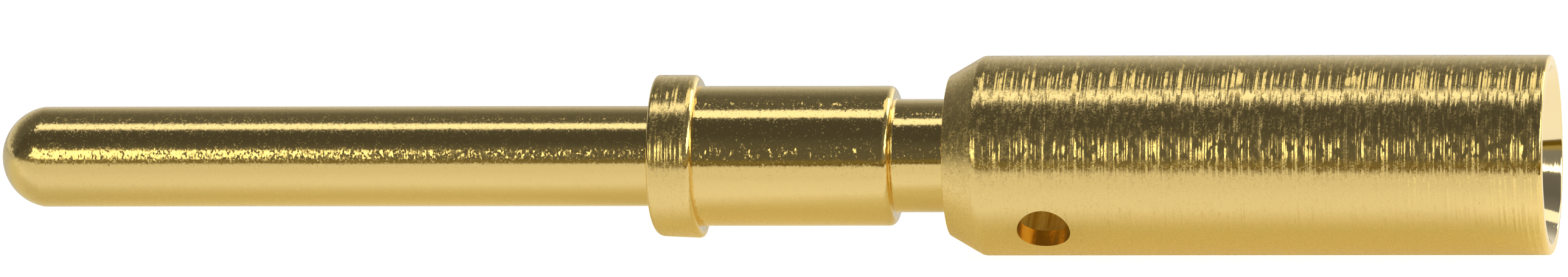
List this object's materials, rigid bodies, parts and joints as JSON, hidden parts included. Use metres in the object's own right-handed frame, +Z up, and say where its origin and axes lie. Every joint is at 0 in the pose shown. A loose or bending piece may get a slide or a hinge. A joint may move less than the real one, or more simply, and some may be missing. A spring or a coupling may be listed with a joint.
{
  "type": "crimp contact",
  "caption": "Turned gold-plated crimp contact: a round-nosed pin, a collar, a seat body, a neck and a crimp barrel with a blind wire bore and an inspection hole.",
  "frame": {"origin": "on the turning axis, in the front face of the collar, at the root of the contact pin", "axes": "+X along the turning axis towards the mouth of the crimp barrel, the contact pin points to -X, +Z up with the contact lying level"},
  "size_m": [0.0252, 0.0032, 0.0032],
  "materials": {
    "gold_plate": "gold plate over a turned copper alloy: burnished on the pin and body, fine turning marks on the barrel"
  },
  "bodies": {
    "root": {"crimp_contact": "gold_plate"}
  },
  "joints": []
}
